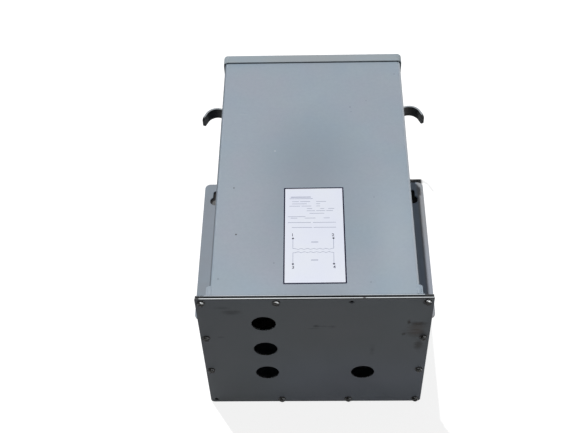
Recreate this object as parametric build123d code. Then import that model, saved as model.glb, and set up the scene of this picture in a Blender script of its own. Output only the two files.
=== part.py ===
from build123d import *
import os

# Encapsulated wall-mount transformer in a sheet-steel enclosure, in millimetres.
# It lies on its back: +Y runs from the cable end to the top end, +Z out of the front panel,
# and the wall plane is z = 0.

# Case
case_width = 296.0
case_depth = 247.0
case_length = 508.8
sheet = 1.9
bend_radius = 4.5
flange_bend = 2.0
bend_reach = 12.0
stand_off = 18.0

# Bottom plate and its seat
plate_overhang = 17.0
plate_rise = 18.5
plate_thickness = 2.3
plate_back_corner = 6.0
plate_front_corner = 1.5
gasket_thickness = 3.0
gasket_inset = 1.5
gasket_width = 24.0
screws_per_side = 4
screw_margin = 8.5
screw_clearance_hole = 6.0
screw_pilot_hole = 4.4

# Conduit holes in the bottom plate
conduit_hole = 34.9
conduit_offset = 72.0
conduit_first = 88.8
conduit_pitch = 66.7
conduit_rows_left = 3
conduit_rows_right = 1

# Seat angles welded to the sides
angle_thickness = 4.0
angle_height = 30.0
angle_toe = 3.5
angle_drop = 4.5
angle_gap = 1.0

# Top cap
cap_sheet = 1.9
cap_gap = 0.7
cap_skirt = 18.0
cap_edge_radius = 2.3

# Wall brackets
bracket_sheet = 2.7
bracket_drop = 58.1
bracket_lip = 36.0
bracket_corner = 10.0
bracket_bend = 3.0
bracket_inset = 1.0
fixing_reach = 33.3
fixing_pitch = 254.0
fixing_side_margin = 21.0
fixing_top_margin = 22.0
fixing_low_margin = 25.0
keyhole_head = 20.0
keyhole_slot = 10.0
keyhole_travel = 19.0
lower_hole = 10.0

# Lifting hooks
hook_width = 21.5
hook_sheet = 3.2
hook_rise = 115.5
hook_foot_length = 56.0
hook_setback = 12.0
hook_root_bend = 21.0
hook_curl_radius = 19.7
hook_curl_angle = 66.0
hook_tip_length = 14.7
hook_corner = 6.0

# Filling
wiring_space = 115.0
fill_gap_at_top = 7.0

# Places that follow from the sizes
plate_height = stand_off + case_depth + plate_rise
seat = plate_thickness + gasket_thickness
front = stand_off + case_depth
case_end = seat + case_length
overall_length = case_end + cap_sheet
half_case = case_width / 2
half_plate = half_case + plate_overhang
plate_width = 2 * half_plate
centre_y = -overall_length / 2
cap_start = overall_length - cap_skirt
inner_radius = bend_radius - sheet
fixing_x = half_case + fixing_reach
bracket_edge = fixing_x + fixing_side_margin
bracket_end = case_end - bracket_drop
upper_fixing = bracket_end - fixing_top_margin
lower_fixing = upper_fixing - fixing_pitch
bracket_start = lower_fixing - fixing_low_margin
hook_top = overall_length - hook_setback
hook_low = stand_off + hook_rise


def block(x, y, z):
    """Box from its low and high limits along each axis."""
    size = (x[1] - x[0], y[1] - y[0], z[1] - z[0])
    return Pos((x[0] + x[1]) / 2, (y[0] + y[1]) / 2, (z[0] + z[1]) / 2) * Box(*size)


def mirrored(solid):
    """The same piece on the other side of the case."""
    return solid.mirror(Plane.YZ)


def along_y(sketch, start, length):
    """Extrude a sketch, drawn as (x, z), along +Y."""
    plane = Plane(origin=(0, start, 0), x_dir=(1, 0, 0), z_dir=(0, -1, 0))
    return extrude(plane * sketch, amount=-length)


def along_z(sketch, start, length):
    """Extrude a sketch, drawn as (x, y), along +Z."""
    return extrude(Pos(0, 0, start) * sketch, amount=length)


def spread(count, low, high):
    """Evenly spaced values from low to high."""
    return [low + (high - low) * i / (count - 1) for i in range(count)]


def screw_places():
    """The ring of plate screws, as (x, z)."""
    columns = spread(screws_per_side, screw_margin - half_plate, half_plate - screw_margin)
    rows = spread(screws_per_side, screw_margin, plate_height - screw_margin)
    edge_columns = (columns[0], columns[-1])
    edge_rows = (rows[0], rows[-1])
    return [(x, z) for x in columns for z in rows if x in edge_columns or z in edge_rows]


def screw_holes(diameter, start, length):
    """Cutters for the screw ring."""
    ring = Sketch() + [Pos(x, z) * Circle(diameter / 2) for x, z in screw_places()]
    return along_y(ring, start, length)


def conduit_places():
    """The open conduit holes, as (x, z)."""
    left = [(-conduit_offset, conduit_first + i * conduit_pitch) for i in range(conduit_rows_left)]
    right = [(conduit_offset, conduit_first + i * conduit_pitch) for i in range(conduit_rows_right)]
    return left + right


def case_outline(offset, radius):
    """Case section drawn as (x, z), grown by an offset, with rounded front corners."""
    half = half_case + offset
    low = stand_off - offset
    high = front + offset
    section = Pos(0, (low + high) / 2) * Rectangle(2 * half, high - low)
    return fillet(section.vertices().group_by(Axis.Y)[-1], radius)


def bottom_plate():
    """Plate that closes the cable end, with its conduit and screw holes."""
    outline = Pos(0, plate_height / 2) * Rectangle(plate_width, plate_height)
    outline = fillet(outline.vertices().group_by(Axis.Y)[0], plate_back_corner)
    outline = fillet(outline.vertices().group_by(Axis.Y)[-1], plate_front_corner)
    outline -= [Pos(x, z) * Circle(conduit_hole / 2) for x, z in conduit_places()]
    plate = along_y(outline, 0, plate_thickness)
    return plate - screw_holes(screw_clearance_hole, -1, plate_thickness + 2)


def plate_gasket():
    """Flat rubber frame between the plate and its seat."""
    outer = Rectangle(plate_width - 2 * gasket_inset, plate_height - 2 * gasket_inset)
    inner = Rectangle(plate_width - 2 * gasket_width, plate_height - 2 * gasket_width)
    ring = along_y(Pos(0, plate_height / 2) * (outer - inner), plate_thickness, gasket_thickness)
    return ring - screw_holes(screw_clearance_hole, plate_thickness - 1, gasket_thickness + 2)


def turned_sheet(half_width, panel_z, flange_z):
    """Strip along the case end whose cable end is bent out to a flange, half a sheet inside its limits."""
    side = 1 if flange_z > panel_z else -1
    skin = panel_z - side * sheet / 2
    path = FilletPolyline((seat + bend_reach, skin), (seat + sheet / 2, skin),
                          (seat + sheet / 2, flange_z), radius=flange_bend + sheet / 2)
    plane = Plane(origin=(-half_width, 0, 0), x_dir=(0, 1, 0), z_dir=(1, 0, 0))
    return extrude(plane * trace(path, sheet), amount=2 * half_width)


def case_wrap():
    """Front and sides folded from one sheet, with the front flange turned out at the cable end."""
    outer = case_outline(0, bend_radius)
    hollow = case_outline(-sheet, inner_radius)
    hollow += Pos(0, stand_off + sheet) * Rectangle(case_width - 2 * sheet, 2 * sheet)
    wrap = along_y(outer - hollow, seat, case_length)
    flat_half = half_case - bend_radius
    wrap -= block((-flat_half, flat_half), (seat - 1, seat + bend_reach), (front - 2 * sheet, front + 1))
    wrap += turned_sheet(flat_half, front, plate_height)
    flange_half = half_case + angle_thickness
    wrap += block((-flange_half, flange_half), (seat, seat + sheet), (front + flange_bend, plate_height))
    return wrap - screw_holes(screw_pilot_hole, seat - 1, sheet + 2)


def case_back():
    """Back sheet, with the back flange turned out at the cable end."""
    half = half_case - sheet
    panel = block((-half, half), (seat + bend_reach, case_end), (stand_off, stand_off + sheet))
    return panel + turned_sheet(half, stand_off, 0) - screw_holes(screw_pilot_hole, seat - 1, sheet + 2)


def side_angle():
    """Seat angle on the right side: one leg on the case, one parallel to the plate."""
    leg = block((half_case, half_case + angle_thickness), (seat, seat + angle_height), (stand_off, front))
    toe = leg.edges().filter_by(Axis.Z).sort_by(Axis.X)[-2:].sort_by(Axis.Y)[-1]
    leg = fillet(toe, angle_toe)
    foot = block((half_case, half_plate), (seat, seat + angle_thickness), (0, plate_height - angle_drop))
    notch = block((half_case - 1, half_case + angle_thickness + angle_gap),
                  (seat - 1, seat + angle_thickness + 1), (front, plate_height))
    return leg + (foot - notch) - screw_holes(screw_pilot_hole, seat - 1, angle_thickness + 2)


def top_cap():
    """Pan that closes the top end over the case sheet."""
    reach = cap_gap + cap_sheet
    pan = along_y(case_outline(reach, bend_radius + reach), cap_start, cap_skirt)
    rim = pan.edges().group_by(Axis.Y)[-1]
    pan = fillet(rim, cap_edge_radius)
    inside = along_y(case_outline(cap_gap, bend_radius + cap_gap), cap_start - 1, cap_skirt - cap_sheet + 1)
    return pan - inside


def fill_block():
    """Core and coils set in the filling, from the wiring space to just under the cap."""
    length = case_length - wiring_space - fill_gap_at_top
    return along_y(case_outline(-sheet, inner_radius + 0.5), seat + wiring_space, length)


def wall_fixings():
    """Keyhole and lower hole of the right bracket, drawn as (x, y)."""
    head_y = upper_fixing - keyhole_travel
    holes = Pos(fixing_x, lower_fixing) * Circle(lower_hole / 2)
    holes += Pos(fixing_x, head_y) * Circle(keyhole_head / 2)
    holes += Pos(fixing_x, head_y + keyhole_travel / 2) * Rectangle(keyhole_slot, keyhole_travel)
    holes += Pos(fixing_x, upper_fixing) * Circle(keyhole_slot / 2)
    return holes


def wall_bracket():
    """Right wall bracket: a Z section with its outer flange on the wall."""
    half_sheet = bracket_sheet / 2
    web = half_case - bracket_inset - half_sheet
    lip_end = web - bracket_lip
    path = FilletPolyline((bracket_edge, half_sheet), (web, half_sheet), (web, stand_off - half_sheet),
                          (lip_end, stand_off - half_sheet), radius=bracket_bend + half_sheet)
    bracket = along_y(trace(path, bracket_sheet), bracket_start, bracket_end - bracket_start)
    bracket = fillet(bracket.edges().filter_by(Axis.Z).group_by(Axis.X)[-1], bracket_corner)
    return bracket - along_z(wall_fixings(), -1, bracket_sheet + 2)


def lifting_hook():
    """Right lifting hook: a bent strap welded to the side by its foot."""
    top_y = hook_top - hook_sheet / 2
    foot_x = half_case + hook_sheet / 2
    foot = Line((foot_x, hook_top - hook_foot_length), (foot_x, top_y - hook_root_bend))
    root = JernArc(foot @ 1, foot % 1, hook_root_bend, -90)
    curl = JernArc(root @ 1, root % 1, hook_curl_radius, -hook_curl_angle)
    tip = Line(curl @ 1, curl @ 1 + (curl % 1) * hook_tip_length)
    strap = along_z(trace(foot + root + curl + tip, hook_sheet), hook_low, hook_width)
    for end in (foot @ 0, tip @ 1):
        middle = Vector(end.X, end.Y, hook_low + hook_width / 2)
        face = strap.faces().sort_by_distance(middle)[0]
        corners = [edge for edge in face.edges() if edge.length < 1.5 * hook_sheet]
        strap = fillet(corners, hook_corner)
    return strap


def pieces():
    """Every node of the transformer by name."""
    parts = {
        "bottom_plate": bottom_plate(),
        "plate_gasket": plate_gasket(),
        "case_wrap": case_wrap(),
        "case_back": case_back(),
        "top_cap": top_cap(),
        "fill_block": fill_block(),
    }
    for name, piece in (("side_angle", side_angle()), ("wall_bracket", wall_bracket()),
                        ("lifting_hook", lifting_hook())):
        parts[name + "_right"] = piece
        parts[name + "_left"] = mirrored(piece)
    return parts


os.makedirs("parts", exist_ok=True)
for node, piece in pieces().items():
    export_step(Pos(0, centre_y, 0) * piece, f"parts/{node}.step")
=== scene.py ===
import math

import bmesh
import bpy
from mathutils import Euler, Matrix, Vector


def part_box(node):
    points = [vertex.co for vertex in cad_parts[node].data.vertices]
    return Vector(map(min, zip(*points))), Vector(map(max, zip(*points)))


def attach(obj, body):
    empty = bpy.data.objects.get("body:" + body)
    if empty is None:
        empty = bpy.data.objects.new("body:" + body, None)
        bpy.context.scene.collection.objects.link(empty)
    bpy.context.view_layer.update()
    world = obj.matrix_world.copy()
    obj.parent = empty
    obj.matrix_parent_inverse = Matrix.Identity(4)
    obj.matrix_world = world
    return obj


bl_info = {
    "name": "Wall-mount transformer",
    "version": (1, 0, 0),
    "blender": (4, 5, 0),
    "location": "3D View > Sidebar > Transformer",
    "description": "Dresses an encapsulated wall-mount transformer in a sheet-steel case, lying on its back",
    "category": "Object",
}

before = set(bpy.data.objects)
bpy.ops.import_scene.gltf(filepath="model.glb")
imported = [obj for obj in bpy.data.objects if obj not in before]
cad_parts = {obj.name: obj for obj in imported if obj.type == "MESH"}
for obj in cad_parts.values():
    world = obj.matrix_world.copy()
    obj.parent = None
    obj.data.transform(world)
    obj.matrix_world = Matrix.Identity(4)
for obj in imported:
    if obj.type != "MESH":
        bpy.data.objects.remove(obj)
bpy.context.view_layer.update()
MM = 0.001
BODY = "root"

# Places that the boxes of the pieces give, in metres
PLATE_LOW, PLATE_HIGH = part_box("bottom_plate")
HOOK_LOW, HOOK_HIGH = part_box("lifting_hook_right")
BRACKET_LOW, BRACKET_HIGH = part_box("wall_bracket_right")
PLATE_FACE = PLATE_LOW.y
PLATE_TOP = PLATE_HIGH.z
CASE_SIDE = HOOK_LOW.x
ANGLE_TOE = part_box("side_angle_right")[1].y
# Faces of the case behind its folds, which no box gives
CASE_FRONT = 265.0 * MM
CASE_BACK_FACE = 18.0 * MM


def from_plate(x, y, z):
    """A point given in millimetres, with y measured from the plate's outer face."""
    return Vector((x * MM, PLATE_FACE + y * MM, z * MM))


def from_panel(x, y):
    """A point on the front panel, given in millimetres as for from_plate."""
    return from_plate(x, y, CASE_FRONT / MM)


def shade(red, green, blue):
    """A screen colour, given from 0 to 255, as shares of 1."""
    return (red / 255, green / 255, blue / 255)


def linear(colour):
    """A screen colour as the four linear numbers that a colour socket takes."""
    parts = [c / 12.92 if c <= 0.04045 else ((c + 0.055) / 1.055) ** 2.4 for c in colour]
    return (*parts, 1.0)


def number(name, text, default, **more):
    """A number property."""
    return bpy.props.FloatProperty(name=name, description=text, default=default, **more)


def length(name, text, default, low=0.0):
    """A length property, given in millimetres and held in metres."""
    return number(name, text, default * MM, min=low, unit="LENGTH", subtype="DISTANCE", precision=5)


def angle(name, text, default):
    """An angle property, given in degrees."""
    return number(name, text, math.radians(default), unit="ROTATION", subtype="ANGLE")


def tint(name, text, *colour):
    """A colour property that holds a screen colour, given from 0 to 255."""
    return bpy.props.FloatVectorProperty(name=name, description=text, default=shade(*colour), size=3,
                                         min=0.0, max=1.0, subtype="COLOR_GAMMA")


class PlateScrewSizes(bpy.types.PropertyGroup):
    margin: length("Margin", "From the plate's edge to the middle of a screw", 8.5)
    per_side: bpy.props.IntProperty(name="Screws a side", description="Screw places along each side",
                                    default=4, min=2)
    head_flats: length("Head across flats", "Width of the hexagon", 8.0)
    head_height: length("Head height", "Height of the hexagon above its washer", 3.3)
    washer_diameter: length("Washer diameter", "Width of the washer formed on the head", 11.0)
    washer_thickness: length("Washer thickness", "Thickness of the washer formed on the head", 1.0)
    slot_width: length("Slot width", "Width of the screwdriver slot", 1.5)
    slot_depth: length("Slot depth", "Depth of the screwdriver slot", 1.4)
    thread_diameter: length("Thread diameter", "Across the crests of the thread", 4.8)
    thread_pitch: length("Thread pitch", "From one turn of the thread to the next", 1.6)
    shank_length: length("Shank length", "From under the head to the tip", 12.0)
    seed: bpy.props.IntProperty(name="Seed", description="Picks how each screw is turned", default=7)


class LabelSizes(bpy.types.PropertyGroup):
    left: length("Left edge", "Place of the label's left edge on the front panel", -43.7, low=-1.0)
    width: length("Width", "Width of the label", 90.3)
    low: length("Lower edge", "From the plate's face to the label", 37.9)
    height: length("Height", "Height of the label", 179.4)
    turn: angle("Turn", "How far the label is stuck on askew", 0.3)
    thickness: length("Thickness", "Thickness of the film", 0.3)
    corner: length("Corner radius", "Radius of the label's corners", 1.2)
    border: length("Border", "Width of the printed border", 2.1)
    stroke: length("Stroke", "Width of a printed line", 0.55)
    ink: length("Ink", "How far the print stands proud of the film", 0.05)


class WeldSizes(bpy.types.PropertyGroup):
    bead: length("Bead", "Width of a weld bead", 5.0)
    pitch: length("Ripple pitch", "From one ripple of a bead to the next", 1.7)
    seed: bpy.props.IntProperty(name="Seed", description="Picks how the ripples differ", default=3)


class TransformerColours(bpy.types.PropertyGroup):
    paint: tint("Enclosure paint", "Grey powder coat", 144, 157, 166)
    paint_cool: tint("Cool paint", "The coat where it leans to blue", 140, 155, 168)
    paint_warm: tint("Warm paint", "The coat where it leans to violet", 147, 154, 166)
    paint_shade: tint("Paint in shade", "The coat where it has dulled", 112, 121, 132)
    cap_paint: tint("Cap paint", "The coat of the cap, a little greener", 146, 154, 157)
    # Worn edge also serves as a painted highlight on folds, edges, burrs and hole walls
    worn_edge_and_highlight: tint("Worn edge", "The coat where a corner has rubbed thin", 192, 199, 206)
    sheared_edge: tint("Sheared edge", "Bare steel at a cut edge", 232, 237, 239)
    # Dirt also serves as painted shade behind the flange's top edge
    dirt_and_shade: tint("Dirt", "Smudges and specks", 46, 44, 42)
    # Grime also serves as painted shade in the hooks, round the screws, along the plate's top edge and in its
    # holes
    grime: tint("Grime", "Black grime in the hooks and holes", 20, 20, 21)
    rust: tint("Rust", "Thin rust in the scratches", 104, 84, 70)
    rubber: tint("Rubber", "Gasket", 14, 15, 17)
    filling: tint("Filling", "Sand and resin round the core and coils", 46, 42, 38)
    grit: tint("Grit", "Sand grains that show in the filling", 92, 84, 74)
    # Zinc serves only as a painted highlight on the screw heads
    zinc: tint("Zinc", "Plated screws where they have stayed bright", 214, 217, 218)
    zinc_dull: tint("Dull zinc", "Plating where it has dulled", 40, 39, 38)
    film: tint("Film", "Label film", 216, 220, 233)
    ink: tint("Ink", "Dots and numbers of the winding diagram", 40, 42, 60)
    border_ink: tint("Border ink", "Border of the label", 5, 6, 40)
    rule: tint("Rule", "Faint printed lines", 136, 142, 166)


class StageSettings(bpy.types.PropertyGroup):
    key: number("Key", "Share of the light that the key lamp gives", 0.90, min=0.0)
    key_spread: angle("Key spread", "Width of the key lamp in the sky", 1.0)
    ambient: number("Ambient", "Light from all round", 0.115, min=0.0)
    fill: number("Fill", "Level light on the sides that the key misses", 0.16, min=0.0)
    floor_tone: number("Floor tone", "Light that the floor gives back", 0.15, min=0.0, max=1.0)
    lens: number("Lens", "Focal length of the camera in millimetres", 63.41, min=1.0)


class Link:
    """An output socket that takes part in sums. Each sum adds a Math node to its tree."""

    def __init__(self, tree, socket):
        self.tree, self.socket = tree, socket

    def sum(self, operation, first, second):
        return self.tree.add("Math", {"operation": operation}, {0: first, 1: second})

    def __add__(self, other):
        return self.sum("ADD", self, other)

    __radd__ = __add__

    def __mul__(self, other):
        return self.sum("MULTIPLY", self, other)

    __rmul__ = __mul__

    def __sub__(self, other):
        return self.sum("SUBTRACT", self, other)

    def __rsub__(self, other):
        return self.sum("SUBTRACT", other, self)

    def __truediv__(self, other):
        return self.sum("DIVIDE", self, other)

    def __or__(self, other):
        """The larger of two masks."""
        return self.sum("MAXIMUM", self, other)

    def rise(self, low, high):
        """0 at low, 1 at high and smooth between."""
        return self.tree.add("MapRange", {"interpolation_type": "SMOOTHSTEP"},
                             {"Value": self, "From Min": low, "From Max": high}, "Result")

    def near(self, place, low, high):
        """As rise, with low and high in millimetres from a place."""
        return self.rise(place + low * MM, place + high * MM)

    def away(self, low, high):
        """0 where the number is low and 1 where it is high, on either side of 0."""
        return (self * self).rise(low ** 2, high ** 2)

    def other(self, output):
        """Another output of the same node."""
        return Link(self.tree, self.socket.node.outputs[output])


class Tree:
    """A node tree that is written as expressions."""

    def __init__(self, tree):
        self.tree = tree
        tree.nodes.clear()

    def add(self, kind, settings=(), values=(), output=0):
        """A new node, with its settings first and then the values or links of its sockets. A kind
        is named in full, or without ShaderNode where it is a shader node."""
        node = self.tree.nodes.new(kind if "Node" in kind else "ShaderNode" + kind)
        for name, setting in dict(settings).items():
            setattr(node, name, setting)
        for name, value in dict(values).items():
            if isinstance(value, Link):
                self.tree.links.new(value.socket, node.inputs[name])
            else:
                node.inputs[name].default_value = value
        return Link(self, node.outputs[output]) if node.outputs else node

    def apart(self, vector):
        """The three numbers of a vector."""
        parts = self.add("SeparateXYZ", {}, {0: vector})
        return parts, parts.other(1), parts.other(2)

    def mix(self, share, first, second):
        """Two colours, given as screen colours or links, mixed by a share."""
        ends = [c if isinstance(c, Link) else linear(c) for c in (first, second)]
        return self.add("Mix", {"data_type": "RGBA", "clamp_factor": True},
                        {0: share, 6: ends[0], 7: ends[1]}, 2)


class Finish(Tree):
    """The node tree of one finish, whose colour is laid on coat by coat."""

    def __init__(self, name):
        self.material = bpy.data.materials.new(name)
        self.material.use_nodes = True
        super().__init__(self.material.node_tree)
        self.tints = bpy.context.scene.transformer_colours
        self.place = self.add("TexCoord", output="Object")
        self.normal = self.add("NewGeometry", output="Normal")

    def lay(self, share, tone):
        """Lays a tone over the colour where the share says so."""
        self.colour = self.mix(share, self.colour, tone)

    def noise(self, scale, detail=2.0, rough=0.5, stretch=None, turn=(0, 0, 0)):
        """Noise whose grains are 1/scale metres apart, stretched by a vector where one is given."""
        place = self.place
        if stretch:
            place = self.add("Mapping", {}, {"Vector": place, "Scale": stretch, "Rotation": turn})
        return self.add("TexNoise", {"noise_dimensions": "3D"},
                        {"Vector": place, "Scale": scale, "Detail": detail, "Roughness": rough}, 0)

    def cells(self, scale):
        """How far the middle of the nearest cell is. The node's Color differs from cell to cell."""
        return self.add("TexVoronoi", {"feature": "F1"}, {"Vector": self.place, "Scale": scale},
                        "Distance")

    def blot(self, centre, radii, ragged=0.0, edge=0.5, grain=None):
        """A mask that is 1 inside an ellipsoid and fades at its edge."""
        offset = self.add("VectorMath", {"operation": "SUBTRACT"},
                          {0: self.place, 1: tuple(centre)})
        scaled = self.add("VectorMath", {"operation": "DIVIDE"},
                          {0: offset, 1: tuple(r * MM for r in radii)})
        distance = self.add("VectorMath", {"operation": "LENGTH"}, {0: scaled}, "Value")
        if ragged and grain:
            distance = distance + (grain - 0.5) * ragged
        return distance.rise(1.0, edge)

    def corners(self, radius):
        """A mask of the outer corners, and the normal rounded over them."""
        rounded = self.add("Bevel", {"samples": 6}, {"Radius": radius})
        facing = self.add("VectorMath", {"operation": "DOT_PRODUCT"},
                          {0: rounded, 1: self.normal}, "Value")
        return 1.0 - facing, rounded

    def bump(self, height, distance, strength=1.0, normal=None):
        """A normal that follows a height, in metres."""
        values = {"Height": height, "Distance": distance, "Strength": strength}
        if normal is not None:
            values["Normal"] = normal
        return self.add("Bump", {}, values)

    def surface(self, roughness, normal=None, metallic=0.0, **constants):
        """Ends the tree in a Principled surface and gives the material."""
        values = {"Base Color": self.colour, "Roughness": roughness, "Metallic": metallic}
        values.update({name.replace("_", " "): value for name, value in constants.items()})
        if normal is not None:
            values["Normal"] = normal
        shader = self.add("BsdfPrincipled", {}, values)
        self.add("OutputMaterial", {}, {"Surface": shader})
        return self.material


# Places in the ring, as (column, row) from the left back corner, where the screw is missing
MISSING_SCREWS = {(0, 0), (2, 3)}
# Middles of the open conduit holes in the plate, as (x, z) in millimetres
CONDUIT_HOLES = ((-72.0, 88.8), (-72.0, 155.5), (-72.0, 222.2), (72.0, 88.8))


def screw_ring():
    """The places of the plate screws that are there, as (x, z)."""
    sizes = bpy.context.scene.transformer_screws
    margin, last = sizes.margin, sizes.per_side - 1
    wide, high = PLATE_HIGH.x - PLATE_LOW.x - 2 * margin, PLATE_HIGH.z - PLATE_LOW.z - 2 * margin
    places = []
    for column in range(last + 1):
        for row in range(last + 1):
            on_ring = column in (0, last) or row in (0, last)
            if on_ring and (column, row) not in MISSING_SCREWS:
                places.append((PLATE_LOW.x + margin + wide * column / last,
                               PLATE_LOW.z + margin + high * row / last))
    return places


def enclosure_paint(name, marks=None, specular=0.32, corner=1.1 * MM):
    """Grey powder coat on folded sheet: mottled, specked, and rubbed thin along its corners, where
    they have a radius. marks(finish, grain) may lay this piece's own marks over the colour."""
    f = Finish(name)
    broad = f.noise(7.0, 2.0)
    patch = f.noise(26.0, 3.0, 0.55)
    grain = f.noise(210.0, 4.0, 0.6)
    f.colour = f.mix(broad.rise(0.35, 0.65), f.tints.paint_cool, f.tints.paint_warm)
    f.lay(patch.rise(0.3, 0.7) * 0.5, f.tints.paint)
    f.lay(grain.rise(0.25, 0.75) * 0.10, f.tints.paint_shade)
    film = f.noise(11.0, 5.0, 0.65).rise(0.5, 0.78)
    f.lay(film * 0.08, shade(186, 188, 184))
    cells = f.cells(34.0)
    pick = f.apart(cells.other("Color"))[0].rise(0.86, 0.9)
    specks = cells.rise(0.045, 0.028) * pick
    f.lay(specks * 0.5, f.tints.dirt_and_shade)
    scores = f.noise(1.0, 2.0, 0.5, stretch=(14.0, 260.0, 260.0), turn=(0.2, 0.35, 0.9))
    scores = scores.rise(0.71, 0.76) * f.noise(16.0).rise(0.52, 0.66)
    f.lay(scores * 0.25, f.tints.worn_edge_and_highlight)
    rounded = None
    if corner:
        edge, rounded = f.corners(corner)
        worn = edge.rise(0.03, 0.22) * f.noise(120.0, 3.0).rise(0.36, 0.62)
        f.lay(worn * 0.55, f.tints.worn_edge_and_highlight)
    if marks:
        marks(f, grain)
    rough = 0.48 + (patch - 0.5) * 0.12 + film * 0.12 + specks * 0.2
    peel = f.noise(620.0, 2.0, 0.5)
    waves = f.noise(4.2, 1.0, 0.4)
    normal = f.bump(waves, 1.2 * MM, 0.35, rounded)
    normal = f.bump(peel, 0.06 * MM, 0.5, normal)
    return f.surface(rough, normal, Specular_IOR_Level=specular)


def panel_marks(f, grain):
    """Darker middle of the front panel, painted highlight and painted shade on its side folds, its specks,
    and the top edge of its flange: rubbed and painted lighter at the front, with painted shade behind.
    """
    clouds = ((-4, 262, (120.0, 170.0, 40.0), 0.0, 0.44, f.tints.paint_shade),
              (-4, 128, (118.0, 130.0, 40.0), 0.2, 0.24, f.tints.paint_shade),
              (2, 16, (80.0, 30.0, 40.0), 0.2, 0.25, f.tints.paint_shade),
              (125, 110, (50.0, 190.0, 60.0), 0.0, 0.16, f.tints.worn_edge_and_highlight))
    for column, row, radii, edge, share, tone in clouds:
        f.lay(f.blot(from_panel(column, row), radii, edge=edge) * share, tone)
    x, y, z = f.apart(f.place)
    across = f.apart(f.normal)[0]
    # Painted highlight on the right fold and painted shade on the left fold, picked by which way the faces
    # turn
    fold = z.near(CASE_FRONT, -9, -6)
    f.lay(across.rise(0.05, 0.6) * fold * 0.55, f.tints.worn_edge_and_highlight)
    f.lay(across.rise(-0.25, -0.8) * fold * 0.75, shade(52, 62, 74))
    # The flange's top edge is painted lighter at the front, partly rubbed paint and partly painted highlight,
    # and darker behind as painted shade
    rubbed = f.noise(46.0, 3.0).rise(0.2, 0.55)
    top = z.near(PLATE_TOP, -0.7, -0.3)
    front = y.near(PLATE_FACE, 6.9, 6.3)
    f.lay(top * front * (0.45 + rubbed * 0.45), f.tints.worn_edge_and_highlight)
    f.lay(z.near(PLATE_TOP, -1.6, -1.0) * (1.0 - front) * 0.5, f.tints.dirt_and_shade)
    dark = ((-113.9, 128.2, 1.7, 1.0), (-120.8, 218.6, 1.5, 1.0), (60.6, 390.5, 1.2, 0.7),
            (61.9, 379.9, 0.9, 0.6), (-57.4, 75.5, 1.5, 0.3), (-136.0, 48.0, 2.0, 0.3),
            (87.1, 404.9, 1.4, 0.3), (136.3, 467.5, 1.6, 0.35), (91.2, 197.8, 1.3, 0.3),
            (80.1, 40.7, 1.6, 0.3))
    for column, row, radius, depth in dark:
        spot = f.blot(from_panel(column, row), (radius, radius * 1.2, 3.0), 0.5, 0.35, grain)
        f.lay(spot * depth, f.tints.dirt_and_shade)
    light = f.blot(from_panel(-59.7, 294.6), (1.8, 1.4, 3.0), 0.5, 0.4, grain)
    f.lay(light * 0.6, f.tints.worn_edge_and_highlight)


def cap_marks(f, grain):
    """The cap's own coat, streaked across its front."""
    streaks = f.noise(1.0, 3.0, 0.6, stretch=(22.0, 160.0, 160.0)).rise(0.35, 0.7)
    x = f.apart(f.place)[0]
    f.lay(0.4 + streaks * 0.35, f.tints.cap_paint)
    f.lay(x.away(0.09, 0.03) * 0.4, shade(146, 150, 151))


def bracket_marks(f, grain):
    """Dust on the wall brackets, a darker tone on the left one, and painted sky light in the case's shadow on
    the right one.
    """
    x, y, _ = f.apart(f.place)
    left = x.rise(0.1, -0.1)
    dust = f.noise(30.0, 4.0, 0.6).rise(0.3, 0.7)
    cool = y.rise(0.12, 0.0) * y.rise(-0.072, -0.055)
    f.lay(0.08 + left * 0.36 + dust * 0.10, f.tints.paint_shade)
    right_tone = f.mix(cool, shade(146, 145, 146), shade(147, 151, 160))
    f.lay(0.25 + dust * 0.2 + (1.0 - left) * 0.4, f.mix(left, right_tone, shade(133, 135, 139)))
    # The strip of the right bracket in the case's cast shadow is painted bluer and lighter: painted sky light
    # in the shadow
    shadow_strip = x.rise(0.193, 0.189) * (1.0 - left) * y.rise(-0.072, -0.055)
    f.lay(shadow_strip * 0.8, shade(150, 164, 182))


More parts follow.
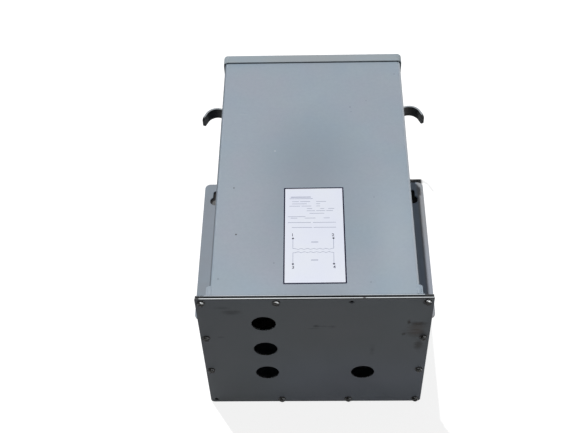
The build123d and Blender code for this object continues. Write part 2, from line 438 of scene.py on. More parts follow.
def plate_marks(f, grain):
    """Smudges on the bottom plate, painted shadow and grime round its screws, bare metal at its top edge with
    painted shade along it, painted shade round the missing screws' holes, and painted shade and glints in and
    round its conduit holes.
    """
    x, y, z = f.apart(f.place)
    low = z.rise(0.19, 0.05) * x.rise(-0.13, 0.0)
    upper = f.mix(x.rise(-0.17, -0.07), shade(133, 136, 140), shade(141, 144, 147))
    f.lay(0.7, f.mix(low, upper, shade(156, 162, 174)))
    smear = f.noise(60.0, 4.0, 0.6, stretch=(0.45, 1.0, 1.3))
    dirt_and_shade, rust, bare = f.tints.dirt_and_shade, f.tints.rust, f.tints.worn_edge_and_highlight
    smudges = ((-117.0, 251.0, 20.0, 9.0, 0.5, dirt_and_shade), (-128.0, 262.0, 18.0, 6.0, 0.3, dirt_and_shade),
               (2.2, 215.8, 8.0, 7.0, 0.5, dirt_and_shade), (26.3, 213.4, 12.0, 7.0, 0.45, dirt_and_shade),
               (14.0, 214.5, 22.0, 4.0, 0.3, dirt_and_shade), (133.4, 224.5, 4.0, 8.0, 1.0, dirt_and_shade),
               (127.7, 193.5, 5.0, 5.0, 0.9, dirt_and_shade), (147.0, 220.0, 19.0, 8.0, 0.9, dirt_and_shade),
               (150.4, 163.8, 10.0, 20.0, 0.8, dirt_and_shade), (146.0, 198.0, 22.0, 24.0, 0.55, dirt_and_shade),
               (-136.0, 188.0, 10.0, 4.0, 0.25, dirt_and_shade), (84.0, 150.0, 7.0, 20.0, 0.3, dirt_and_shade),
               (146.0, 204.0, 17.0, 22.0, 0.4, rust))
    for column, row, wide, high, depth, tone in smudges:
        spot = f.blot(from_plate(column, 0, row), (wide, 6.0, high), 1.6, 0.1, smear)
        f.lay(spot * depth, tone)
    for column, row, wide, tone in ((-1.0, 209.0, 15.0, dirt_and_shade), (140.0, 201.0, 14.0, bare)):
        scratch = f.blot(from_plate(column, 0, row), (wide, 6.0, 1.0), 0.6, 0.3, smear)
        f.lay(scratch * 0.4, tone)
    # Painted shadow and grime round each screw, set a little left of and below it
    for column, row in screw_ring():
        ring = f.blot((column - 1.0 * MM, PLATE_FACE, row - 1.2 * MM), (7.4, 6.0, 7.4), 0.9, 0.6, grain)
        f.lay(ring * 0.85, f.tints.grime)
    top = z.near(PLATE_TOP, -0.5, -0.2)
    uneven = f.noise(38.0, 3.0).rise(0.25, 0.6)
    fade = x.rise(0.14, -0.10)
    f.lay(top * (0.55 + uneven * 0.2 + fade * 0.35), f.tints.sheared_edge)
    # Painted shade along the front and back of the top edge, and just under it on the outer face
    near_rim = y.near(PLATE_FACE, 0.85, 0.55)
    far_rim = y.near(PLATE_FACE, 1.75, 2.0)
    f.lay(top * (near_rim | far_rim) * 0.9, f.tints.grime)
    outer = y.near(PLATE_FACE, 0.2, 0.1)
    f.lay(z.near(PLATE_TOP, -1.7, -1.3) * outer * 0.85, f.tints.grime)
    corner = x.rise(-0.156, -0.159) * f.noise(240.0, 2.0).rise(0.36, 0.46)
    f.lay(top * corner * 0.9, f.tints.grime)
    nick = f.blot(from_plate(69.0, 1.2, 283.5), (3.0, 3.0, 3.0), 0.6, 0.3, grain)
    f.lay(nick * 0.8, dirt_and_shade)
    # Painted shade that widens the open holes of the two missing screws
    for column, row, radii in ((51.5, 275.0, (5.4, 3.0, 3.6)), (-155.0, 8.0, (5.0, 3.0, 4.0))):
        hole_shade = f.blot(from_plate(column, 0, row), radii, 0.8, 0.4, grain)
        f.lay(hole_shade * 0.85, f.tints.grime)
    # The walls of the conduit holes are painted dark as painted shade with painted glints, and the lower half
    # of each hole's rim on the outer face gets a painted glint
    across = f.apart(f.normal)[1]
    cut = (across * across).rise(0.5, 0.2)
    glint = f.noise(420.0, 2.0).rise(0.52, 0.62)
    rim = f.mix(glint * 0.55, f.tints.grime, f.tints.worn_edge_and_highlight)
    for column, row in CONDUIT_HOLES:
        middle = from_plate(column, 1.2, row)
        f.lay(f.blot(middle, (19.0,) * 3, edge=0.98) * cut, rim)
        burr_glint = f.blot(middle, (18.2,) * 3, edge=0.985) * (1.0 - cut) * z.near(middle.z, 0, -16)
        f.lay(burr_glint * (0.25 + glint * 0.75), f.tints.worn_edge_and_highlight)


def angle_marks(f, grain):
    """Blackens the top ends of the seat angles beside the gasket, less where flecks fall on the left one."""
    x, y, z = f.apart(f.place)
    end = z.near(CASE_FRONT, 9, 12)
    flecks = f.noise(300.0, 2.0).rise(0.55, 0.62) * x.rise(-0.1, -0.15)
    f.lay(end * (0.95 - flecks * 0.7), f.tints.grime)


def hook_marks(f, grain):
    """Painted shade on the faces of the hooks turned towards -Y, lighter near the root and blacker on the
    left hook, over a lighter neutral tone.
    """
    # Faces turned towards -Y take painted shade, graded from root to tip
    back = f.apart(f.normal)[1].rise(0.1, -0.5)
    x = f.apart(f.place)[0]
    reach = x.away(0.153, 0.182)
    throat_shade = f.mix(reach, shade(118, 117, 114), shade(72, 71, 68))
    throat_shade = f.mix(x.rise(0.1, -0.1), throat_shade, f.tints.grime)
    f.lay(0.5, shade(160, 159, 157))
    f.lay(back * (0.86 + grain * 0.12), throat_shade)


def gasket_rubber():
    """Black closed-cell rubber with a dusty edge."""
    f = Finish("gasket_rubber")
    grain = f.noise(900.0, 3.0, 0.6)
    dust = f.noise(45.0, 3.0).rise(0.5, 0.8)
    f.colour = f.mix(grain * 0.3, f.tints.rubber, shade(30, 31, 34))
    f.lay(dust * 0.06, shade(96, 94, 90))
    return f.surface(0.78 + dust * 0.1, f.bump(grain, 0.12 * MM, 0.5), Specular_IOR_Level=0.1)


def filling_compound():
    """Sand and resin, cast rough, with grains that show."""
    f = Finish("filling_compound")
    grains = f.cells(620.0)
    tone = f.apart(grains.other("Color"))[0]
    lumps = f.noise(40.0, 4.0, 0.6)
    f.colour = f.mix(tone.rise(0.55, 0.95) * 0.6, f.tints.filling, f.tints.grit)
    f.lay(lumps.rise(0.4, 0.7) * 0.4, shade(30, 28, 26))
    height = lumps * 3.0 + grains
    return f.surface(0.72 + tone * 0.15, f.bump(height, 0.5 * MM, 0.6), Specular_IOR_Level=0.4)


def zinc_screws():
    """Zinc plate that has dulled dark, with a painted highlight on the right upper flats of the heads and on
    their right edges.
    """
    f = Finish("zinc_screws")
    dull = f.noise(260.0, 3.0, 0.6).rise(0.42, 0.7)
    fine = f.noise(2600.0, 2.0, 0.6)
    brushed = f.noise(1.0, 2.0, 0.5, stretch=(900.0, 4000.0, 4000.0))
    across, _, up = f.apart(f.normal)
    depth = f.apart(f.place)[1]
    head = depth.near(PLATE_FACE, -1.2, -1.6)
    back = 0.25 + depth.near(PLATE_FACE, -3.6, -2.8) * 0.75
    # Painted highlight on the upper flats of the heads, towards the right and the back
    bright = up.rise(0.25, 0.75) * across.rise(-0.7, 0.0) * head * back
    f.colour = f.mix(dull * 0.6, f.tints.zinc_dull, shade(22, 22, 22))
    f.lay(bright * (1.0 - dull * 0.3), f.tints.zinc)
    f.lay(fine.rise(0.55, 0.8) * 0.2, shade(70, 66, 58))
    # Painted highlight on the heads' edges that turn right
    edge, rounded = f.corners(0.35 * MM)
    f.lay(edge.rise(0.05, 0.3) * head * across.rise(-0.3, 0.5) * 0.5, f.tints.zinc)
    rough = 0.38 + dull * 0.2 + brushed * 0.1
    normal = f.bump(fine, 0.02 * MM, 0.4, rounded)
    return f.surface(rough, normal, 0.1 + bright * 0.5, Specular_IOR_Level=0.3)


def label_film():
    """Pale satin film, faintly yellowed and dusty, with rounded edges and a faint ripple."""
    f = Finish("label_film")
    cloud = f.noise(18.0, 3.0)
    grain = f.noise(340.0, 3.0, 0.6)
    f.colour = f.mix(cloud.rise(0.35, 0.7) * 0.4, f.tints.film, shade(219, 223, 228))
    f.lay(grain.rise(0.55, 0.85) * 0.12, shade(176, 178, 190))
    cells = f.cells(90.0)
    pick = f.apart(cells.other("Color"))[1].rise(0.84, 0.88)
    f.lay(cells.rise(0.05, 0.03) * pick * 0.4, f.tints.dirt_and_shade)
    edge, rounded = f.corners(0.25 * MM)
    normal = f.bump(f.noise(55.0, 2.0), 0.25 * MM, 0.3, rounded)
    return f.surface(0.34 + cloud * 0.12, f.bump(grain, 0.01 * MM, 0.4, normal))


def label_ink(name, colour, wear=1.0):
    """Printing ink, broken where the film has rubbed by as much as its wear."""
    f = Finish(name)
    rubbed = f.noise(520.0, 4.0, 0.65).rise(0.52, 0.72)
    tone = f.noise(60.0, 2.0)
    f.colour = f.mix(rubbed * (0.30 * wear), colour, f.tints.film)
    f.lay(tone.rise(0.5, 0.8) * (0.25 * wear), shade(96, 96, 150))
    return f.surface(0.42 + rubbed * 0.15, f.bump(rubbed, 0.01 * MM, 0.3), Specular_IOR_Level=0.1)


def new_object(name, data):
    """A new object of the scene."""
    made = bpy.data.objects.new(name, data)
    bpy.context.scene.collection.objects.link(made)
    return made


def evaluated_mesh(holder):
    """The mesh that an object has once its modifiers or its text are worked out."""
    return bpy.data.meshes.new_from_object(holder.evaluated_get(bpy.context.evaluated_depsgraph_get()))


def finish_piece(name, mesh, material):
    """Makes a finished piece, which sits at the origin and rides on the body. A mesh that a
    Geometry Nodes tree made has its material already, and comes with None."""
    piece = new_object(name, mesh)
    if material is not None:
        mesh.materials.clear()
        mesh.materials.append(material)
    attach(piece, BODY)


def mesh_of(name, shape):
    """A bmesh as a mesh with its faces pointing outwards."""
    bmesh.ops.recalc_face_normals(shape, faces=shape.faces)
    mesh = bpy.data.meshes.new(name)
    shape.to_mesh(mesh)
    shape.free()
    return mesh


def skin(shape, rings):
    """Adds a closed body through rings of points, each with the same count."""
    rows = [[shape.verts.new(point) for point in ring] for ring in rings]
    shape.faces.new(reversed(rows[0]))
    shape.faces.new(rows[-1])
    for low, high in zip(rows, rows[1:]):
        for index, here in enumerate(low):
            after = (index + 1) % len(low)
            shape.faces.new((here, low[after], high[after], high[index]))


def slab(shape, outline, low, high):
    """Adds a closed slab with a flat outline, given as (x, y) in turn, between two heights."""
    skin(shape, [[(x, y, z) for x, y in outline] for z in (low, high)])


def rounded_box(left, right, low, high, radius, steps=5):
    """The outline of a rectangle with rounded corners, as (x, y) in turn."""
    middles = ((right - radius, low + radius, -90), (right - radius, high - radius, 0),
               (left + radius, high - radius, 90), (left + radius, low + radius, 180))
    outline = []
    for x, y, start in middles:
        for step in range(steps + 1):
            turn = math.radians(start + 90 * step / steps)
            outline.append((x + radius * math.cos(turn), y + radius * math.sin(turn)))
    return outline


# Folds sharper than this stay sharp where a mesh is smoothed
SHARP_FOLD = math.radians(34)


class GeometryTree(Tree):
    """A Geometry Nodes tree. Its inputs are named like the properties that set them."""

    def __init__(self, name, *keys):
        super().__init__(bpy.data.node_groups.new(name, "GeometryNodeTree"))
        self.identifiers = {}
        for key, kind in (("Geometry", "Geometry"), *((key, "Float") for key in keys), ("seed", "Int"),
                          ("material", "Material")):
            self.identifiers[key] = self.socket(key, "INPUT", kind).identifier
        self.socket("Geometry", "OUTPUT", "Geometry")
        source = self.add("NodeGroupInput")
        self.given = {key: source.other(key) for key in self.identifiers}

    def socket(self, name, side, kind):
        return self.tree.interface.new_socket(name=name, in_out=side, socket_type="NodeSocket" + kind)

    def finish(self, geometry):
        """Realizes the instances, sets the material and closes the tree."""
        real = self.node("RealizeInstances", {0: geometry})
        smooth = self.add("GeometryNodeSetShadeSmooth", {"domain": "FACE"}, {"Geometry": real})
        fold = self.add("GeometryNodeInputMeshEdgeAngle")
        sharp = self.add("FunctionNodeCompare", {"data_type": "FLOAT", "operation": "GREATER_THAN"},
                         {0: fold, 1: SHARP_FOLD})
        creased = self.add("GeometryNodeSetShadeSmooth", {"domain": "EDGE"},
                           {"Geometry": smooth, "Selection": sharp, "Shade Smooth": False})
        painted = self.node("SetMaterial", {"Geometry": creased, "Material": self.given["material"]})
        self.add("NodeGroupOutput", {}, {0: painted})
        return self

    def piece(self, name, lines, sizes, material, slot):
        """Makes the finished piece that the tree gives for lines, sizes and a material."""
        holder = new_object(name + "_base", lines_mesh(name + "_base", lines))
        modifier = holder.modifiers.new("nodes", "NODES")
        modifier.node_group = self.tree
        for key, identifier in self.identifiers.items():
            if key != "Geometry":
                modifier[identifier] = material if key == "material" else getattr(sizes, key)
        mesh = evaluated_mesh(holder)
        mesh.name = name
        holder.modifiers.remove(modifier)
        bpy.data.objects.remove(holder)
        if not mesh.polygons:
            raise RuntimeError(name + " came out empty")
        finish_piece(name, mesh, None)

    def node(self, kind, values, output=0):
        """A geometry node that needs no settings."""
        return self.add("GeometryNode" + kind, {}, values, output)

    def raised(self, geometry, height):
        """Geometry moved along Z by a number or a link."""
        place = self.add("CombineXYZ", {}, {2: height})
        return self.node("Transform", {"Geometry": geometry, "Translation": place})

    def cone(self, sides, bottom, top, height):
        """A closed cone that stands on the origin."""
        return self.node("MeshCone", {"Vertices": sides, "Radius Bottom": bottom, "Radius Top": top,
                                      "Depth": height}, "Mesh")

    def cylinder(self, sides, radius, height):
        """A closed cylinder with its middle on the origin."""
        return self.node("MeshCylinder", {"Vertices": sides, "Radius": radius, "Depth": height}, "Mesh")

    def joined(self, *parts):
        """Several geometries as one."""
        join = self.tree.nodes.new("GeometryNodeJoinGeometry")
        for part in parts:
            self.tree.links.new(part.socket, join.inputs[0])
        return Link(self, join.outputs[0])


def screw_tree():
    """A slotted hexagon washer-head screw on each point, head along -Y and thread along +Y."""
    tree = GeometryTree("plate_screw_ring", "head_flats", "head_height", "washer_diameter",
                        "washer_thickness", "slot_width", "slot_depth", "thread_diameter",
                        "thread_pitch", "shank_length")
    given = tree.given
    flats, head, rim, shank = (given[key] for key in ("head_flats", "head_height", "washer_thickness",
                                                      "shank_length"))
    washer, thread_width = given["washer_diameter"], given["thread_diameter"]
    circum = flats * (0.5 / math.cos(math.pi / 6))
    chamfer = head * 0.14
    body = tree.raised(tree.cylinder(6, circum, head - chamfer), rim + (head - chamfer) * 0.5)
    crown = tree.raised(tree.cone(6, circum, circum * 0.88, chamfer), rim + head - chamfer)
    slot_size = tree.add("CombineXYZ", {},
                         {0: flats * 2.0, 1: given["slot_width"], 2: given["slot_depth"] * 2.0})
    slot_box = tree.raised(tree.node("MeshCube", {"Size": slot_size}, "Mesh"), rim + head)
    hexagon = tree.joined(body, crown)
    hexagon = tree.node("MergeByDistance", {"Geometry": hexagon, "Distance": 0.02 * MM})
    cut = tree.add("GeometryNodeMeshBoolean", {"operation": "DIFFERENCE", "solver": "EXACT"},
                   {"Mesh 1": hexagon, "Mesh 2": slot_box}, "Mesh")
    flange = tree.cone(28, washer * 0.5, washer * 0.46, rim)
    core_radius = thread_width * 0.36
    core = tree.raised(tree.cylinder(16, core_radius, shank * 0.9), shank * -0.45)
    tip = tree.raised(tree.cone(16, core_radius * 0.55, core_radius, shank * 0.1), shank * -1.0)
    path = tree.node("CurveSpiral", {"Resolution": 14, "Rotations": shank * 0.88 / given["thread_pitch"],
                                     "Start Radius": core_radius, "End Radius": core_radius,
                                     "Height": shank * 0.88}, "Curve")
    ridge = tree.node("CurvePrimitiveCircle", {"Resolution": 3, "Radius": thread_width * 0.14}, "Curve")
    thread = tree.node("CurveToMesh", {"Curve": path, "Profile Curve": ridge, "Fill Caps": True})
    screw = tree.joined(cut, flange, core, tip, tree.raised(thread, shank * -0.9))
    # RandomValue has one output a type, and the float one is the second
    turn = tree.add("FunctionNodeRandomValue", {"data_type": "FLOAT"},
                    {"Min": 0.0, "Max": math.tau, "Seed": given["seed"]}, 1)
    lean = tree.add("FunctionNodeRandomValue", {"data_type": "FLOAT"},
                    {"Min": math.radians(88.5), "Max": math.radians(91.5), "Seed": given["seed"] + 11}, 1)
    way = tree.add("CombineXYZ", {}, {0: lean, 1: turn})
    way = tree.add("FunctionNodeEulerToRotation", {}, {0: way})
    return tree.finish(tree.node("InstanceOnPoints", {"Points": given["Geometry"], "Instance": screw,
                                                      "Rotation": way}))


def weld_tree():
    """A row of overlapping ripples along each line of the base mesh."""
    tree = GeometryTree("weld_beads", "bead", "pitch")
    given = tree.given
    path = tree.node("MeshToCurve", {0: given["Geometry"]})
    path = tree.add("GeometryNodeResampleCurve", {"mode": "LENGTH"},
                    {"Curve": path, "Length": given["pitch"]})
    points = tree.add("GeometryNodeCurveToPoints", {"mode": "EVALUATED"}, {"Curve": path})
    ripple = tree.node("MeshUVSphere", {"Segments": 12, "Rings": 7, "Radius": given["bead"] * 0.5}, "Mesh")
    size = tree.add("FunctionNodeRandomValue", {"data_type": "FLOAT_VECTOR"},
                    {0: (0.82, 0.86, 0.5), 1: (1.06, 1.12, 0.62), "Seed": given["seed"]}, 0)
    return tree.finish(tree.node("InstanceOnPoints", {"Points": points, "Instance": ripple, "Scale": size,
                                                      "Rotation": points.other("Rotation")}))


def lines_mesh(name, lines):
    """A mesh of open lines, each given as its points. A line of one point gives a loose point."""
    places, edges = [], []
    for line in lines:
        start = len(places)
        places += [tuple(p) for p in line]
        edges += [(start + i, start + i + 1) for i in range(len(line) - 1)]
    mesh = bpy.data.meshes.new(name)
    mesh.from_pydata(places, edges, [])
    return mesh


class TRANSFORMER_OT_paint(bpy.types.Operator):
    """Give every solid of the case its finish"""
    bl_idname = "transformer.paint"
    bl_label = "Paint the case"

    def execute(self, context):
        plain = enclosure_paint("enclosure_paint")
        finishes = {"case_wrap": enclosure_paint("enclosure_paint_panel", panel_marks),
                    "bottom_plate": enclosure_paint("enclosure_paint_plate", plate_marks, 0.15),
                    "top_cap": enclosure_paint("enclosure_paint_cap", cap_marks),
                    "wall_bracket": enclosure_paint("enclosure_paint_brackets", bracket_marks, 0.15),
                    "lifting_hook": enclosure_paint("enclosure_paint_hooks", hook_marks, 0.15),
                    "side_angle": enclosure_paint("enclosure_paint_angles", angle_marks),
                    "plate_gasket": gasket_rubber(), "fill_block": filling_compound()}
        for name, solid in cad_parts.items():
            kind = name.removesuffix("_right").removesuffix("_left")
            material = finishes.get(kind, plain)
            solid.data.materials.clear()
            solid.data.materials.append(material)
        return {"FINISHED"}


class TRANSFORMER_OT_screws(bpy.types.Operator):
    """Drive the screws that hold the bottom plate"""
    bl_idname = "transformer.screws"
    bl_label = "Plate screws"

    def execute(self, context):
        sizes = context.scene.transformer_screws
        places = [[(x, PLATE_FACE, z)] for x, z in screw_ring()]
        screw_tree().piece("plate_screws", places, sizes, zinc_screws(), "zinc_screws")
        return {"FINISHED"}


class TRANSFORMER_OT_welds(bpy.types.Operator):
    """Lay the weld beads that hold the hooks, seat angles and wall brackets"""
    bl_idname = "transformer.welds"
    bl_label = "Weld beads"

    def execute(self, context):
        sizes = context.scene.transformer_welds
        painted = enclosure_paint("enclosure_paint_welds", corner=0.0)
        tree = weld_tree()
        groups = {"hook_welds": self.hook_lines(), "angle_welds": self.angle_lines(),
                  "bracket_welds": self.bracket_lines()}
        for name, lines in groups.items():
            both = lines + [[Vector((-p.x, p.y, p.z)) for p in line] for line in lines]
            tree.piece(name, both, sizes, painted, "enclosure_paint")
        finish_piece("corner_welds", self.corner_welds(), painted)
        return {"FINISHED"}

    def corner_welds(self):
        """Ground beads that close the groove between the case's folds and the seat angles."""
        side, front = CASE_SIDE / MM, CASE_FRONT / MM
        section = ((-4.8, -0.3), (-3.6, 0.1), (-1.5, 0.25), (1.5, 0.15), (2.3, -0.1), (2.0, -1.2),
                   (0.3, -6.5), (-0.8, -6.5), (-2.6, -2.5))
        # The bead runs out towards this point of its section
        end_x, end_z = -2.0, -1.2
        shape = bmesh.new()
        for way in (1, -1):
            rings = []
            for y, full in ((5.6, 1.0), (33.0, 1.0), (35.3, 0.8), (36.6, 0.4), (37.4, 0.1)):
                places = [(end_x + (dx - end_x) * full, end_z + (dz - end_z) * full) for dx, dz in section]
                rings.append([from_plate(way * (side + dx), y, front + dz) for dx, dz in places])
            skin(shape, rings)
        mesh = mesh_of("corner_welds", shape)
        mesh.shade_smooth()
        return mesh

    def hook_lines(self):
        """Round the three free sides of a hook's foot."""
        x = CASE_SIDE / MM + 0.3
        start, end, corner = 478.0, 448.5, 6.0
        low, high = HOOK_LOW.z / MM, HOOK_HIGH.z / MM
        line = [(start, low)]
        for y, z, first in ((end + corner, low + corner, 270), (end + corner, high - corner, 180)):
            for step in range(7):
                turn = math.radians(first - 15 * step)
                line.append((y + corner * math.cos(turn), z + corner * math.sin(turn)))
        line.append((start, high))
        return [[from_plate(x, y, z) for y, z in line]]

    def angle_lines(self):
        """Three stitches along the toe of a seat angle."""
        x, long = CASE_SIDE + 0.4 * MM, 26
        return [[Vector((x, ANGLE_TOE, z * MM)), Vector((x, ANGLE_TOE, (z + long) * MM))]
                for z in (34, 120, 206)]

    def bracket_lines(self):
        """Four stitches where a bracket's web meets the case."""
        long, inset, z = 24 * MM, 14 * MM, CASE_BACK_FACE - 0.2 * MM
        first, last = BRACKET_LOW.y + inset, BRACKET_HIGH.y - inset - long
        starts = [first + (last - first) * i / 3 for i in range(4)]
        return [[Vector((CASE_SIDE, y, z)), Vector((CASE_SIDE, y + long, z))] for y in starts]


class TRANSFORMER_OT_label(bpy.types.Operator):
    """Stick the rating label on the front panel, with plain numbers and a winding diagram"""
    bl_idname = "transformer.label"
    bl_label = "Rating label"

    def execute(self, context):
        self.sizes = sizes = context.scene.transformer_label
        tints = context.scene.transformer_colours
        face = CASE_FRONT + sizes.thickness
        self.bottom, self.top = face - 0.02 * MM, face + sizes.ink
        shape = bmesh.new()
        slab(shape, self.outline(0.0, sizes.corner), CASE_FRONT - 0.02 * MM, face)
        finish_piece("label_film", mesh_of("label_film", shape), label_film())
        ink = label_ink("label_ink", tints.ink)
        edge_ink = label_ink("label_border_ink", tints.border_ink, 0.15)
        faint_ink = label_ink("label_rule_ink", tints.rule)
        for name, draw, finish in (("label_border", self.border, edge_ink),
                                   ("label_diagram", self.diagram, faint_ink),
                                   ("label_dots", self.dots, ink), ("label_numbers", self.numbers, ink),
                                   ("label_rules", self.rules, faint_ink)):
            shape = bmesh.new()
            draw(shape)
            finish_piece(name, mesh_of(name, shape), finish)
        return {"FINISHED"}

    def outline(self, inset, radius):
        """The label's outline, drawn in by an inset and turned with the label."""
        sizes = self.sizes
        corner = Vector((sizes.left, PLATE_FACE + sizes.low))
        box = rounded_box(inset, sizes.width - inset, inset, sizes.height - inset, radius)
        askew = Matrix.Rotation(sizes.turn, 2)
        return [corner + askew @ Vector(point) for point in box]

    def border(self, shape):
        """The printed border, as a closed ring between two outlines."""
        corner = self.sizes.corner
        rims = (self.outline(0.05 * MM, corner), self.outline(self.sizes.border, corner * 0.4))
        rows = [[shape.verts.new((x, y, z)) for x, y in rim] for rim in rims for z in (self.bottom, self.top)]
        for first, second in ((0, 1), (1, 3), (3, 2), (2, 0)):
            count = len(rows[first])
            for i in range(count):
                j = (i + 1) % count
                shape.faces.new((rows[first][i], rows[first][j], rows[second][j], rows[second][i]))

    def ribbon(self, shape, points, width):
        """A flat printed line through points given in millimetres, y from the plate's face."""
        places = [Vector((x * MM, PLATE_FACE + y * MM)) for x, y in points]
        sides = []
        for i, here in enumerate(places):
            before, after = places[max(i - 1, 0)], places[min(i + 1, len(places) - 1)]
            first = (here - before).normalized() if i else (after - here).normalized()
            second = (after - here).normalized() if i < len(places) - 1 else first
            normal = (first.orthogonal() + second.orthogonal()).normalized()
            reach = width / 2 / max(0.4, normal.dot(first.orthogonal()))
            sides.append((here + normal * reach, here - normal * reach))
        outline = [a for a, _ in sides] + [b for _, b in reversed(sides)]
        rings = []
        for z in (self.bottom, self.top):
            rings.append([shape.verts.new((p.x, p.y, z)) for p in outline])
        count, last = len(outline), len(places) - 1
        for i in range(last):
            a, b, c, d = i, i + 1, count - 2 - i, count - 1 - i
            shape.faces.new([rings[1][k] for k in (a, b, c, d)])
            shape.faces.new([rings[0][k] for k in (d, c, b, a)])
        for i in range(count):
            j = (i + 1) % count
            shape.faces.new((rings[0][i], rings[0][j], rings[1][j], rings[1][i]))

    windings = (((-30.3, 28.8), (119.6, 101.0), -1), ((-30.1, 28.7), (73.0, 93.4), 1))

    def diagram(self, shape):
        """Two windings, each between two terminals."""
        for ends, lead_y, way in self.windings:
            left, right = ends
            teeth, swing = 12, 1.7
            run = [(left, lead_y[0]), (left, lead_y[1])]
            first, last = left + 3, right - 2
            for i in range(teeth + 1):
                run.append((first + (last - first) * i / teeth, lead_y[1] + (way * swing if i % 2 else 0)))
            run += [(right, lead_y[1]), (right, lead_y[0])]
            self.ribbon(shape, run, self.sizes.stroke)

    def dots(self, shape):
        """The terminals of the windings."""
        radius, sides = 1.5 * MM, 16
        turns = [k * math.tau / sides for k in range(sides)]
        for ends, lead_y, _ in self.windings:
            for x in ends:
                dot = [(x * MM + radius * math.cos(a), PLATE_FACE + lead_y[0] * MM + radius * math.sin(a))
                       for a in turns]
                slab(shape, dot, self.bottom, self.top + 0.01 * MM)

    def numbers(self, shape):
        """Plain terminal numbers."""
        for text, x, y in (("1", -31.0, 126.0), ("2", 28.2, 125.5), ("3", -29.8, 67.0), ("4", 29.3, 67.2)):
            curve = bpy.data.curves.new("number", "FONT")
            curve.body, curve.size, curve.extrude = text, 7.2 * MM, (self.top - self.bottom) / 2
            curve.offset = 0.12 * MM
            curve.align_x, curve.align_y, curve.resolution_u = "CENTER", "CENTER", 3
            holder = new_object("number", curve)
            flat = evaluated_mesh(holder)
            flat.transform(Matrix.Translation((x * MM, PLATE_FACE + y * MM, (self.top + self.bottom) / 2)))
            shape.from_mesh(flat)
            bpy.data.objects.remove(holder)
            bpy.data.meshes.remove(flat)
        bmesh.ops.remove_doubles(shape, verts=shape.verts, dist=0.001 * MM)

    def rules(self, shape):
        """Blank lines of the printed form."""
        lines = ((198.7, ((-34, -4),)), (195.6, ((-36, -1),)),
                 (189.8, ((-32, -22), (-20, -5), (4, 19))), (185.4, ((-32, -10), (4, 10))),
                 (181.0, ((-36, -20), (-18, -3), (4, 10))),
                 (176.0, ((-10, -2), (10, 16), (22, 31))), (171.8, ((-10, 2), (4, 17), (19, 29))),
                 (166.8, ((-6, 16),)), (160.6, ((-38, -12),)), (157.8, ((-34, -24), (-13, 3), (15, 24))),
                 (149.4, ((-38, -4), (-1, 33))), (140.0, ((-32, -2), (0, 33))),
                 (112.7, ((-3.5, 6.5),)), (80.0, ((-4, 6),)))
        heavy = (198.7, 112.7, 80.0)
        for y, spans in lines:
            weight = 2.2 if y in heavy else 1.2
            for start, end in spans:
                self.ribbon(shape, [(start, y), (end, y)], self.sizes.stroke * weight)


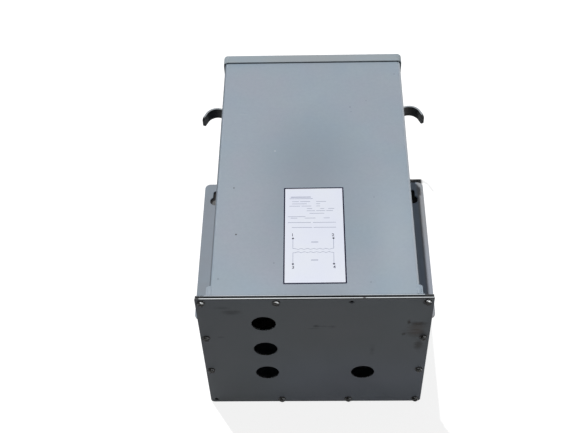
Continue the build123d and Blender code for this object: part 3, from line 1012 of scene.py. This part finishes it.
class TRANSFORMER_OT_stage(bpy.types.Operator):
    """Set the pale floor, the soft light and the camera"""
    bl_idname = "transformer.stage"
    bl_label = "Stage"
    key_from, right_from, back_from = (-0.182, 0.28, 1.0), (1.0, 0.45, 0.02), (-0.5, 1.0, 0.02)
    eye_place, eye_turn = (0.003169, -1.05432, 1.43101), (39.398, 1.532, -0.538)
    floor_reach, floor_level = 30.0, -0.4 * MM

    def execute(self, context):
        scene, settings = context.scene, context.scene.transformer_stage
        scene.view_settings.view_transform = "Standard"
        self.floor(settings)
        self.sky(scene, settings)
        self.lamp("key", self.key_from, settings.key, settings.key_spread)
        self.lamp("fill_right", self.right_from, settings.fill, 1.0)
        self.lamp("fill_back", self.back_from, settings.fill, 1.0)
        camera = bpy.data.cameras.new("camera")
        camera.lens, camera.sensor_width, camera.sensor_fit = settings.lens, 36.0, "HORIZONTAL"
        camera.clip_start, camera.clip_end = 0.05, 100.0
        eye = new_object("camera", camera)
        eye.rotation_mode = "ZYX"
        eye.rotation_euler = Euler([math.radians(a) for a in self.eye_turn], "ZYX")
        eye.location = self.eye_place
        scene.camera = eye
        return {"FINISHED"}

    def seen(self, tree):
        """1 for rays that show the background: the camera's and those that metal and glass send."""
        path = tree.add("LightPath", output="Is Camera Ray")
        return path | path.other("Is Glossy Ray") | path.other("Is Transmission Ray")

    def floor(self, settings):
        """The floor: pale where it is seen, darker where the unit would shade it."""
        corners = [(x * self.floor_reach, y * self.floor_reach, self.floor_level)
                   for x, y in ((-1, -1), (1, -1), (1, 1), (-1, 1))]
        mesh = bpy.data.meshes.new("floor")
        mesh.from_pydata(corners, [], [(0, 1, 2, 3)])
        floor = new_object("floor", mesh)
        material = bpy.data.materials.new("floor")
        material.use_nodes = True
        mesh.materials.append(material)
        tree = Tree(material.node_tree)
        x, y, _ = tree.apart(tree.add("TexCoord", output="Object"))
        level = y.rise(-0.08, -0.06) * y.rise(0.196, 0.188)
        under = x.away(0.196, 0.190) * level
        # Painted shadow of the right hook on the floor just past the right bracket's end
        end = x.rise(0.146, 0.148) * (x + y).rise(0.412, 0.408) * y.rise(0.2105, 0.2075)
        under = under | x.rise(0.2045, 0.199) * y.rise(0.19, 0.195) * end
        # A slightly paler spot under the left keyhole: painted light on the floor seen through it
        aside, along = x + 0.1790, y - 0.1540
        under = under * (1.0 - (aside * aside + along * along).rise(0.0092 ** 2, 0.0078 ** 2) * 0.10)
        beside = x.away(0.160, 0.166) * x.away(0.200, 0.196) * level
        tone = settings.floor_tone * (1.0 - beside * 0.8)
        dim = tree.add("BsdfDiffuse", {}, {"Color": tone})
        pale = tree.add("BsdfDiffuse", {}, {"Color": (0.3, 0.3, 0.3, 1)})
        glow = tree.add("Emission", {}, {"Strength": 0.85})
        pale = tree.add("AddShader", {}, {0: pale, 1: glow})
        mixed = tree.add("MixShader", {}, {0: self.seen(tree) * (1.0 - under), 1: dim, 2: pale})
        tree.add("OutputMaterial", {}, {"Surface": mixed})

    def sky(self, scene, settings):
        world = bpy.data.worlds.new("sky")
        world.use_nodes = True
        scene.world = world
        tree = Tree(world.node_tree)
        seen = self.seen(tree)
        strength = seen + (1.0 - seen) * settings.ambient
        light = tree.add("Background", {}, {"Color": (1, 1, 1, 1), "Strength": strength})
        tree.add("OutputWorld", {}, {"Surface": light})

    def lamp(self, name, direction, share, spread):
        """A far lamp that shines from a direction and gives a white face its share of full light."""
        sun = bpy.data.lights.new(name, "SUN")
        sun.energy, sun.angle = share * math.pi, spread
        holder = new_object(name, sun)
        holder.rotation_mode = "QUATERNION"
        holder.rotation_quaternion = Vector(direction).to_track_quat("Z", "Y")


class TRANSFORMER_PT_panel(bpy.types.Panel):
    bl_idname = "TRANSFORMER_PT_panel"
    bl_label = "Transformer"
    bl_space_type = "VIEW_3D"
    bl_region_type = "UI"
    bl_category = "Transformer"

    def draw(self, context):
        for kind in OPERATORS:
            self.layout.operator(kind.bl_idname)
        for name in SETTINGS:
            group = getattr(context.scene, name)
            box = self.layout.box()
            for key in group.__annotations__:
                box.prop(group, key)


OPERATORS = (TRANSFORMER_OT_paint, TRANSFORMER_OT_screws, TRANSFORMER_OT_welds, TRANSFORMER_OT_label,
             TRANSFORMER_OT_stage)
SETTINGS = {
    "transformer_screws": PlateScrewSizes,
    "transformer_label": LabelSizes,
    "transformer_welds": WeldSizes,
    "transformer_colours": TransformerColours,
    "transformer_stage": StageSettings,
}
CLASSES = (*SETTINGS.values(), *OPERATORS, TRANSFORMER_PT_panel)


def register():
    for kind in CLASSES:
        bpy.utils.register_class(kind)
    for name, kind in SETTINGS.items():
        setattr(bpy.types.Scene, name, bpy.props.PointerProperty(type=kind))


def unregister():
    for name in SETTINGS:
        delattr(bpy.types.Scene, name)
    for kind in reversed(CLASSES):
        bpy.utils.unregister_class(kind)


def main():
    register()
    bpy.ops.transformer.paint()
    bpy.ops.transformer.screws()
    bpy.ops.transformer.welds()
    bpy.ops.transformer.label()
    bpy.ops.transformer.stage()


if __name__ == "__main__":
    main()
